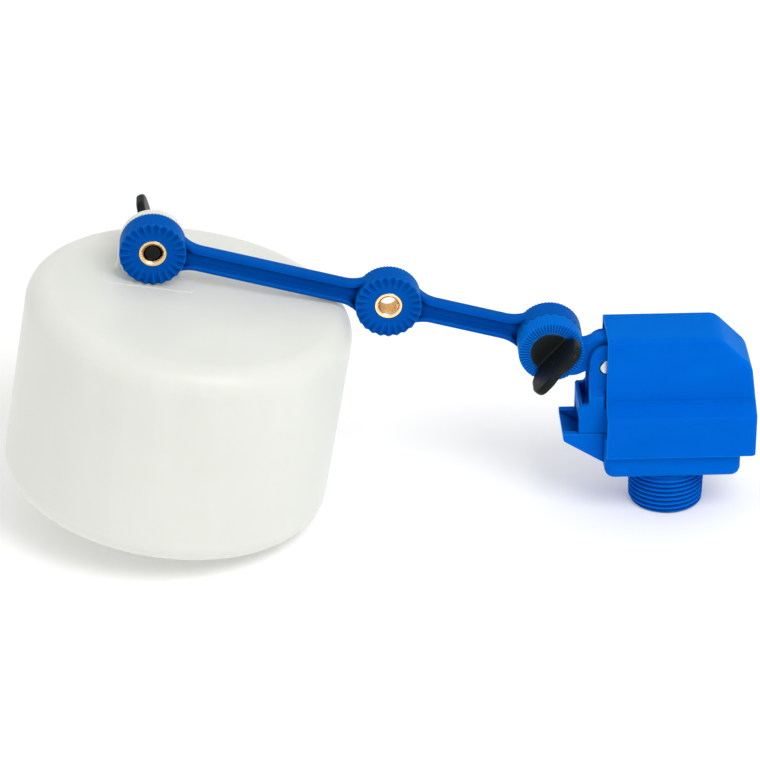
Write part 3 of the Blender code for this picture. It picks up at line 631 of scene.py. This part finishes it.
def inlet_casting():
    """Block, rim, thread, discharge trough, splash walls and the two cheeks that hold the pin."""
    block = box((BLOCK_LEFT, -BLOCK_HALF, SHOULDER), (BLOCK_RIGHT, BLOCK_HALF, BLOCK_TOP))
    round_edges(block, lambda p, d: 3.4 if p.z < BLOCK_TOP - 0.1 else 0.5, segments=6)
    rim = box((-19.0, -15.7, 27.0), (27.4, 15.7, BLOCK_TOP - 0.4))
    round_edges(rim, lambda p, d: 0.8, segments=2)
    trough_side = [
        (BLOCK_LEFT + 3, TROUGH_ROOT - 1.9, 0),
        (TROUGH_END + 0.2, TROUGH_LIP - 0.4, 1.4),
        (TROUGH_END, TROUGH_TOP, 0),
        (BLOCK_LEFT + 5, TROUGH_TOP, 0),
    ]
    trough = prism(rounded(trough_side), -TROUGH_HALF, TROUGH_HALF)
    round_edges(trough, trough_width)
    wall_side = [
        (WALL_END, TROUGH_TOP - 4, 0),
        (WALL_END, WALL_TOP, 0.8),
        (WALL_END + 2.9, WALL_TOP, 1.2),
        (WALL_END + 4.7, STEP_TOP, 1.0),
        (MOUTH - 0.4, STEP_TOP, 0),
        (MOUTH - 0.4, WALL_TOP - 1.2, 0),
        (PIVOT[0] + CHEEK_HALF + 2, WALL_TOP - 1.2, 0),
        (PIVOT[0] + CHEEK_HALF + 2, TROUGH_TOP - 4, 0),
    ]
    walls = prism(rounded(wall_side), -WALL_HALF, WALL_HALF, edge=0.5)
    cut_side = [
        (TROUGH_END - 2, TROUGH_TOP + 0.6),
        (BLOCK_LEFT + 1, CHAMBER_FLOOR),
        (2, CHAMBER_FLOOR),
        (2, STEP_TOP + 3),
        (WALL_END + END_WALL, STEP_TOP + 3),
        (WALL_END + END_WALL, TROUGH_TOP + 4.7),
        (TROUGH_END - 2, TROUGH_TOP + 4.7),
    ]
    channel = prism(cut_side, -CHANNEL_HALF, CHANNEL_HALF)
    chamber = rod((0, 0), CHAMBER_RADIUS, CHAMBER_FLOOR, STEP_TOP, "Z", 72)
    bore = turned([(0, -1), (BORE + 1.9, -1), (BORE, 0.9), (BORE, 25), (0, 25)], (0, 0), "Z", 72)
    combine(block, ("+", rim), ("+", threaded_spigot()), ("+", trough), ("+", walls))
    combine(block, ("-", channel), ("-", chamber), ("-", bore))
    steps = []
    left, right = PIVOT[0] - CHEEK_HALF, PIVOT[0] + CHEEK_HALF
    for side in (-1, 1):
        upright = [
            (left, CHAMBER_FLOOR + 3.2, 0),
            (right, CHAMBER_FLOOR - 1, 0),
            (right, CHEEK_TOP, 6.0),
            (left, CHEEK_TOP, 6.0),
        ]
        low, high = sorted((side * CHEEK_IN, side * CHEEK_OUT))
        steps.append(("+", prism(rounded(upright), low, high, edge=0.45)))
        foot = [
            (side * (CHEEK_IN + 0.1), CHAMBER_FLOOR + 3.4, 0),
            (side * (WALL_HALF - 0.6), CHAMBER_FLOOR + 3.4, 0),
            (side * (WALL_HALF - 0.3), STEP_TOP - 0.6, 0.5),
            (side * (CHEEK_OUT - 0.3), STEP_TOP + 2.6, 0),
            (side * (CHEEK_IN + 0.1), STEP_TOP + 2.6, 0),
        ]
        steps.append(("+", prism(rounded(foot), left + 0.2, MOUTH - 0.4, plane="YZ")))
    combine(block, *steps)
    cuts = [("-", rod(PIVOT, PIN_HOLE, -THROUGH, THROUGH, count=48))]
    cuts += [("-", rod(place, GUIDE_SCREW_HOLE, 25.3, 35, "Z", 24)) for place in GUIDE_SCREWS]
    combine(block, *cuts)
    piece(block, "inlet_casting", "valve", "valve_body", VALVE_BLUE, smooth=38)


# ---------------------------------------------------------------- hood

HOOD_TOP, HOOD_HALF, CREASE = hood_high.z, 10.6, 44.0
SKIRT_HALF, SKIRT_TOP, SKIRT_BOTTOM = 17.5, 40.4, 25.4
ROOF_END, CHAMFER, HOOD_END = 16.0, 11.5, hood_high.x
HOOD_WALL = 1.5


def hood_solid(inset, past):
    """The hood's solid, drawn in by inset on its closed sides and longer by past on its open ones."""
    slope = inset * 0.62
    diagonal = inset * 0.42
    side = [
        (MOUTH - past, SKIRT_BOTTOM - past),
        (HOOD_END - inset, SKIRT_BOTTOM - past),
        (HOOD_END - inset, CREASE),
        (ROOF_END + CHAMFER - inset, HOOD_TOP - CHAMFER - diagonal),
        (ROOF_END - diagonal, HOOD_TOP - inset),
        (MOUTH - past, HOOD_TOP - inset),
    ]
    half = [
        (SKIRT_HALF - inset, SKIRT_BOTTOM - past - 1),
        (SKIRT_HALF - inset, SKIRT_TOP - slope),
        (HOOD_HALF - inset, CREASE - slope),
        (HOOD_HALF - inset, HOOD_TOP - inset),
    ]
    section = half + [(-y, z) for y, z in reversed(half)]
    shape = prism(side, -SKIRT_HALF - 2, SKIRT_HALF + 2)
    return combine(shape, ("&", prism(section, MOUTH - 6, HOOD_END + 6, plane="YZ")))


def hood_widths(p, d):
    """How far each edge of the hood is rounded."""
    if p.z < SKIRT_BOTTOM + 0.05 or p.x < MOUTH + 0.05:
        return 0
    along_y = abs(d.y) > 0.9
    if along_y and p.z > HOOD_TOP - 0.5:
        return 2.6
    if along_y and p.z > CREASE + 2:
        return 2.2
    if along_y:
        return 1.0
    if abs(abs(p.y) - HOOD_HALF) < 0.05 and p.z < CREASE + 0.1:
        return 0.6
    if abs(abs(p.y) - HOOD_HALF) < 0.05:
        return 1.5
    return 1.7


def hood():
    shell = round_edges(hood_solid(0, 0), hood_widths, segments=5, least=8)
    inside = round_edges(hood_solid(HOOD_WALL, 3), lambda p, d: 0.8 if p.x > MOUTH else 0, least=8)
    combine(shell, ("-", inside))
    round_edges(shell, lambda p, d: 0.4 if p.x < MOUTH + 0.02 or p.z < SKIRT_BOTTOM + 0.02 else 0, least=60)
    piece(shell, "hood_shell", "valve", "hood_cover", VALVE_BLUE, smooth=30)


# ---------------------------------------------------------------- lever

LEVER_FRONT, LEVER_BACK = lever_low.y, 1.9
LEVER_PIN_HOLE = 2.9
SCREW_HOLE = 3.3


def lever():
    """The lever: its ribbed and toothed boss, the neck to the pivot and the tongue past it."""
    rings = ribbed_rings(LEVER_FRONT, LEVER_FRONT, -1) + toothed_rings(LEVER_BACK, 1, HALF_TOOTH)[::-1]
    boss = turned(rings, LEVER_JOINT, "Y", BOSS_COUNT)
    x, z = LEVER_JOINT
    px, pz = PIVOT
    neck = [
        (x + 5, z - 9.9, 0),
        (-32.5, 51.3, 5),
        (-28.0, 53.4, 4),
        (px + 1.5, pz - 5.4, 2),
        (-7.5, 56.3, 0),
        (3.2, 56.2, 2.6),
        (3.0, 62.6, 2),
        (-11.0, 66.0, 3),
        (-22.5, 66.0, 5),
        (-26.8, 65.4, 5),
        (-30.4, 63.9, 5),
        (-33.2, 64.6, 3),
        (x + 5, z + 9.4, 0),
    ]
    body = prism(rounded(neck), LEVER_FRONT + 0.7, LEVER_BACK - 0.25, edge=0.8)
    hub = rod(PIVOT, 5.3, -CHEEK_IN + 0.3, CHEEK_IN - 0.3, count=72, edge=0.3)
    combine(boss, ("+", body), ("+", hub))
    holes = ((PIVOT, LEVER_PIN_HOLE), (LEVER_JOINT, SCREW_HOLE))
    combine(boss, *[("-", rod(place, radius, -THROUGH, THROUGH, count=48)) for place, radius in holes])
    piece(boss, "lever_casting", "lever", "lever", LEVER_BLUE)


# ---------------------------------------------------------------- arm

BAR_HALF = 4.1
BAR_FRONT, BAR_BACK = 5.6, 10.4
HUB_FRONT, ARM_BACK = 3.5, arm_high.y
FLARE_RADIUS = 12.0
FLARE_BOSS = 11.0
FLANGE = 1.9
BOSSES = (0.0, MIDDLE_ALONG, SPAN)
INSERT_HOLE = 4.95


def on_arm(along, across):
    """The (x, z) of a point given along the arm from the lever's joint and across it."""
    x = LEVER_JOINT[0] - along * cos(SLOPE) + across * sin(SLOPE)
    return (x, LEVER_JOINT[1] + along * sin(SLOPE) + across * cos(SLOPE))


def bar_edge(along):
    """Half the bar's height: straight between the bosses, with a concave flare up to each boss."""
    start = sqrt((FLARE_BOSS + FLARE_RADIUS) ** 2 - (BAR_HALF + FLARE_RADIUS) ** 2)
    meet = start * FLARE_BOSS / (FLARE_BOSS + FLARE_RADIUS)
    away = min(abs(along - place) for place in BOSSES)
    if away >= start:
        return BAR_HALF
    if away <= meet:
        return sqrt(max(0.0, FLARE_BOSS**2 - away**2))
    return BAR_HALF + FLARE_RADIUS - sqrt(FLARE_RADIUS**2 - (start - away) ** 2)


def bar_section(half):
    """The bar's I-shaped section as (across, y): a deep recess in front and a shallow one behind."""
    front, back, corner = BAR_FRONT, BAR_BACK, 0.7
    web = half - FLANGE
    rows = [(web - 0.9, front + 2.1), (web - 0.35, front + 1.9), (web, front + 1.4)]
    rows += [(web + 0.15, front + 0.3), (web + 0.35, front)]
    turns = [radians(30 * k) for k in range(4)]
    rows += [(half - corner + corner * sin(t), front + corner - corner * cos(t)) for t in turns]
    rows += [(half - corner + corner * cos(t), back - corner + corner * sin(t)) for t in turns]
    rows += [(web + 0.3, back), (web + 0.1, back - 0.2), (web, back - 0.65), (web - 0.3, back - 0.8)]
    return rows + [(-across, y) for across, y in reversed(rows)]


def bar():
    """The bar, lofted along the arm from one end boss to the other."""
    start, end, step = 3.0, SPAN - 3.0, 0.7
    count = int((end - start) / step)
    work = bmesh.new()
    rows = []
    for k in range(count + 1):
        along = start + (end - start) * k / count
        row = []
        for across, y in bar_section(bar_edge(along)):
            x, z = on_arm(along, across)
            row.append(work.verts.new((x, y, z)))
        rows.append(row)
    for one, two in zip(rows, rows[1:]):
        for i in range(len(one)):
            k = (i + 1) % len(one)
            work.faces.new((one[i], one[k], two[k], two[i]))
    work.faces.new(rows[0])
    work.faces.new(rows[-1])
    return holder(work)


def arm():
    """The bar with its three bosses, toothed in front, finely ribbed behind, each with an insert's hole."""
    made = bar()
    joints = (LEVER_JOINT, MIDDLE_JOINT, FLOAT_JOINT)
    rings = toothed_rings(HUB_FRONT, -1) + [(BOSS, 4.2)] + ribbed_rings(ARM_BACK, ARM_BACK, 1)[::-1]
    combine(made, *[("+", turned(rings, place, "Y", BOSS_COUNT)) for place in joints])
    combine(made, *[("-", rod(place, INSERT_HOLE, 0, 20, count=96)) for place in joints])
    piece(made, "arm_casting", "arm", "float_arm", ARM_BLUE)


def insert(name, place):
    """A brass insert with a countersunk, threaded bore."""
    low, high = HUB_FRONT + 0.08, ARM_BACK - 0.1
    pitch, depth, bore, outer = 1.0, 0.32, 3.1, 4.9
    rings = [(bore + 0.15, low + 0.7), (bore + 0.8, low), (outer - 0.25, low), (outer, low + 0.25)]
    rings += [(outer, high - 0.25), (outer - 0.25, high), (bore + 0.5, high)]
    steps = int((high - low - 0.8) / pitch * 10)
    for k in range(steps + 1):
        y = high - 0.4 - (high - low - 0.8) * k / steps

        def radius(turns, y=y):
            return bore + depth * (1 - np.clip(thread_wave(y, turns, pitch) * 1.15, 0, 1))

        rings.append((radius, y))
    made = turned(rings, place, "Y", 84, closed=True)
    piece(made, name + "_threaded", "arm", name, BRASS, smooth=40)


# ---------------------------------------------------------------- wing screws

def wing_screw(node, place, body, face, way, tip, angle):
    """A thumb screw: a flat head, a blade with two lobes and a gate mark beside the axis, a threaded shank.

    face and tip are the y of the head's underside and of the shank's end, way is the side the blade is on
    and angle turns the blade about the axis.
    """
    head, pitch = 1.8, 1.0
    rings = [(0, 0.35), (6.4, 0.0), (7.2, 0.12), (7.5, 0.5), (7.5, 1.25)]
    rings += [(7.3, 1.6), (6.9, 1.75), (5.0, head), (0, head)]
    disc = turned(rings, (0, 0), "Y", 64)
    half = [(7.3, -0.3, 0), (9.2, 1.0, 2), (11.3, 4.4, 4), (11.4, 10.2, 4), (9.4, 15.0, 4), (3.4, 15.0, 3)]
    blade = half + [(0, 13.6, 4)] + [(-along, out, radius) for along, out, radius in reversed(half)]
    wings = prism(rounded(blade, 8), 0.0, 3.0, edge=1.1, steps=4)
    upright = Matrix(((1, 0, 0, 0), (0, 0, 1, head), (0, -1, 0, 0), (0, 0, 0, 1)))
    wings.data.transform(upright)
    combine(disc, ("+", wings))
    remesh = disc.modifiers.new("even", "REMESH")
    remesh.mode = "VOXEL"
    remesh.voxel_size = 0.34
    smooth = disc.modifiers.new("blend", "SMOOTH")
    smooth.factor = 0.5
    smooth.iterations = 7
    bake(disc)
    ring = [(0.95, -0.3), (1.35, -0.3), (1.35, 0.3), (0.95, 0.3)]
    gate = turned(ring, (0.3, head + 7.0), "Z", 40, closed=True)
    combine(disc, ("-", gate))
    disc.data.transform(Matrix.Rotation(-angle, 4, "Y"))
    length = abs(tip - face)
    rings = [(0, 1.2), (2.6, 1.2), (2.6, -0.2)]
    steps = int(length / pitch * 8)
    for k in range(steps):
        y = -0.3 - (length - 0.6) * k / steps

        def radius(turns, y=y):
            return 2.86 - 0.36 * (1 - np.clip(thread_wave(y, turns, pitch) * 1.2, 0, 1))

        rings.append((radius, y))
    rings += [(2.45, -length + 0.05), (2.2, -length), (0, -length)]
    combine(disc, ("+", turned(rings, (0, 0), "Y", 72)))
    flip = Matrix.Identity(4) if way > 0 else Matrix.Diagonal((1, -1, 1, 1))
    disc.data.transform(Matrix.Translation((place[0], face, place[1])) @ flip)
    if way < 0:
        disc.data.flip_normals()
    piece(disc, node + "_moulded", body, node, BLACK)


# ---------------------------------------------------------------- float

FLOAT_R, FLOAT_H, FLOAT_ROUND, FLOAT_WALL = 56.4, 75.0, 8.5, 1.6
FLOAT_TILT = radians(9.1)
EAR = (-15.3, 12.1)
EAR_FRONT, EAR_BACK = 12.3, 15.3
PAD_HALF = 16
FILLER = 6.0


def arc(centre, radius, start, end, steps):
    """Points on an arc, from start to end in degrees."""
    turns = [radians(start + (end - start) * k / steps) for k in range(steps + 1)]
    return [(centre[0] + radius * cos(t), centre[1] + radius * sin(t)) for t in turns]


def float_body():
    """The hollow float, leaning as it hangs, with its ear and the low pad that the ear stands on."""
    outer, wall, r = FLOAT_R, FLOAT_WALL, FLOAT_ROUND
    steps = 12
    profile = [(0, 0)] + [(outer * k / 5, 0) for k in (1, 2, 3, 4)]
    profile += arc((outer - r, -r), r, 90, 0, steps)
    profile += [(outer, -FLOAT_H * k / 6) for k in (2, 3, 4)]
    profile += arc((outer - r, r - FLOAT_H), r, 0, -90, steps)
    profile += [(FILLER, -FLOAT_H), (FILLER, wall - FLOAT_H)]
    profile += arc((outer - r, r - FLOAT_H), r - wall, -90, 0, steps)
    profile += arc((outer - r, -r), r - wall, 0, 90, steps) + [(0, -wall)]
    shell = turned(profile, (0, 0), "Z", 160)
    lean = Matrix.Rotation(FLOAT_TILT, 4, "Y")
    offset = lean @ Vector((EAR[0], 0, EAR[1]))
    place = Matrix.Translation(Vector((FLOAT_JOINT[0], 0, FLOAT_JOINT[1])) - offset) @ lean
    x, z = EAR
    half = BOSS - 0.15
    ear = [(x + half + 0.5, -0.7), (x + half + 0.4, 0.4), (x + half + 0.12, 1.0), (x + half, 2.0)]
    ear += arc((x, z), half, 0, 180, 40)
    ear += [(x - half, 2.0), (x - half - 0.12, 1.0), (x - half - 0.4, 0.4), (x - half - 0.5, -0.7)]
    plate = prism(ear, EAR_FRONT, EAR_BACK, edge=0.6)
    left, right, near, far = x - PAD_HALF, x + PAD_HALF, EAR_FRONT - 10.5, EAR_BACK + 2
    pad_outline = [(left, near, 2), (right, near, 2), (right, far, 2), (left, far, 2)]
    pad = prism(rounded(pad_outline), -wall / 2, 0.2, edge=0.12, plane="XY")
    for part in (shell, plate, pad):
        part.data.transform(place)
    rings = ribbed_rings(EAR_FRONT, EAR_FRONT - RIB, -1, HALF_RIB)
    rings += [(BOSS, EAR_FRONT + 1), (0, EAR_FRONT + 1)]
    ribs = turned(rings, FLOAT_JOINT, "Y", BOSS_COUNT)
    combine(shell, ("+", pad), ("+", plate), ("+", ribs))
    combine(shell, ("-", rod(FLOAT_JOINT, SCREW_HOLE, EAR_FRONT - 5, EAR_BACK + 5, count=48)))
    piece(shell, "float_bottle", "float", "float_shell", MILKY)


inlet_casting()
hood()
lever()
arm()
insert("insert_lever_end", LEVER_JOINT)
insert("insert_middle", MIDDLE_JOINT)
insert("insert_float_end", FLOAT_JOINT)
wing_screw("wing_screw_lever", LEVER_JOINT, "lever_screw", face=-3.2, way=-1, tip=10.1, angle=radians(48.8))
wing_screw("wing_screw_float", FLOAT_JOINT, "float_screw", face=15.6, way=1, tip=4.2, angle=radians(-75))
float_body()


# ---------------------------------------------------------------- nodes that stay

KEPT = {
    "seat_nozzle": BRASS,
    "nozzle_o_ring": RUBBER,
    "plunger_guide": ACETAL,
    "guide_screw_left": STEEL,
    "guide_screw_right": STEEL,
    "pivot_pin": STEEL,
    "pivot_pin_clip": STEEL,
    "plunger": ACETAL,
    "plunger_o_ring": RUBBER,
    "valve_washer": RUBBER,
    "washer_screw": STEEL,
    "float_plug": ACETAL,
}
for name, mat in KEPT.items():
    for material_slot in frame["nodes"][name].material_slots:
        material_slot.material = mat


# ---------------------------------------------------------------- stage, light and camera

def floor():
    """A white paper floor under the lowest point, as stage."""
    low_z = min(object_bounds()[0].z, 0)
    work = bmesh.new()
    bmesh.ops.create_grid(work, x_segments=8, y_segments=8, size=4)
    bmesh.ops.translate(work, vec=(0, 0, low_z), verts=work.verts)
    data = bpy.data.meshes.new("floor")
    work.to_mesh(data)
    work.free()
    made = bpy.data.objects.new("floor", data)
    SCENE.collection.objects.link(made)
    n = Nodes("floor_paper")
    fibre = n.noise(800, 3)
    colour = n.blend(n.spread(fibre, 0, 1), (0.86, 0.86, 0.855), (0.90, 0.90, 0.895))
    n.link(colour, n.shader.inputs["Base Color"])
    n.link(n.spread(fibre, 0.85, 0.95), n.shader.inputs["Roughness"])
    n.set(Specular_IOR_Level=0.0, Emission_Strength=0.14)
    n.shader.inputs["Emission Color"].default_value = (1, 1, 0.985, 1)
    data.materials.append(n.mat)
    made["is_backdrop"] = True


def area_light(name, place, aim, size, power):
    lamp = bpy.data.lights.new(name, "AREA")
    lamp.shape = "DISK"
    lamp.size = size
    lamp.energy = power
    made = bpy.data.objects.new(name, lamp)
    SCENE.collection.objects.link(made)
    made.location = place
    made.rotation_euler = (Vector(aim) - Vector(place)).to_track_quat("-Z", "Y").to_euler()


floor()
world = bpy.data.worlds.new("studio")
world.use_nodes = True
world.node_tree.nodes["Background"].inputs["Color"].default_value = (1.0, 1.0, 1.0, 1)
world.node_tree.nodes["Background"].inputs["Strength"].default_value = 0.82
SCENE.world = world
area_light("key", place=(0.42, -0.80, 1.15), aim=(-0.08, 0, 0.05), size=0.8, power=10)

camera_data = bpy.data.cameras.new("camera")
camera_data.lens = 189.5
camera_data.sensor_width = 36
camera_data.clip_end = 20
camera = bpy.data.objects.new("camera", camera_data)
SCENE.collection.objects.link(camera)
camera.location = (-0.1534, -1.2100, 0.7201)
camera.rotation_euler = (radians(61.01), 0, radians(-2.5))
SCENE.camera = camera
SCENE.view_settings.view_transform = "Standard"
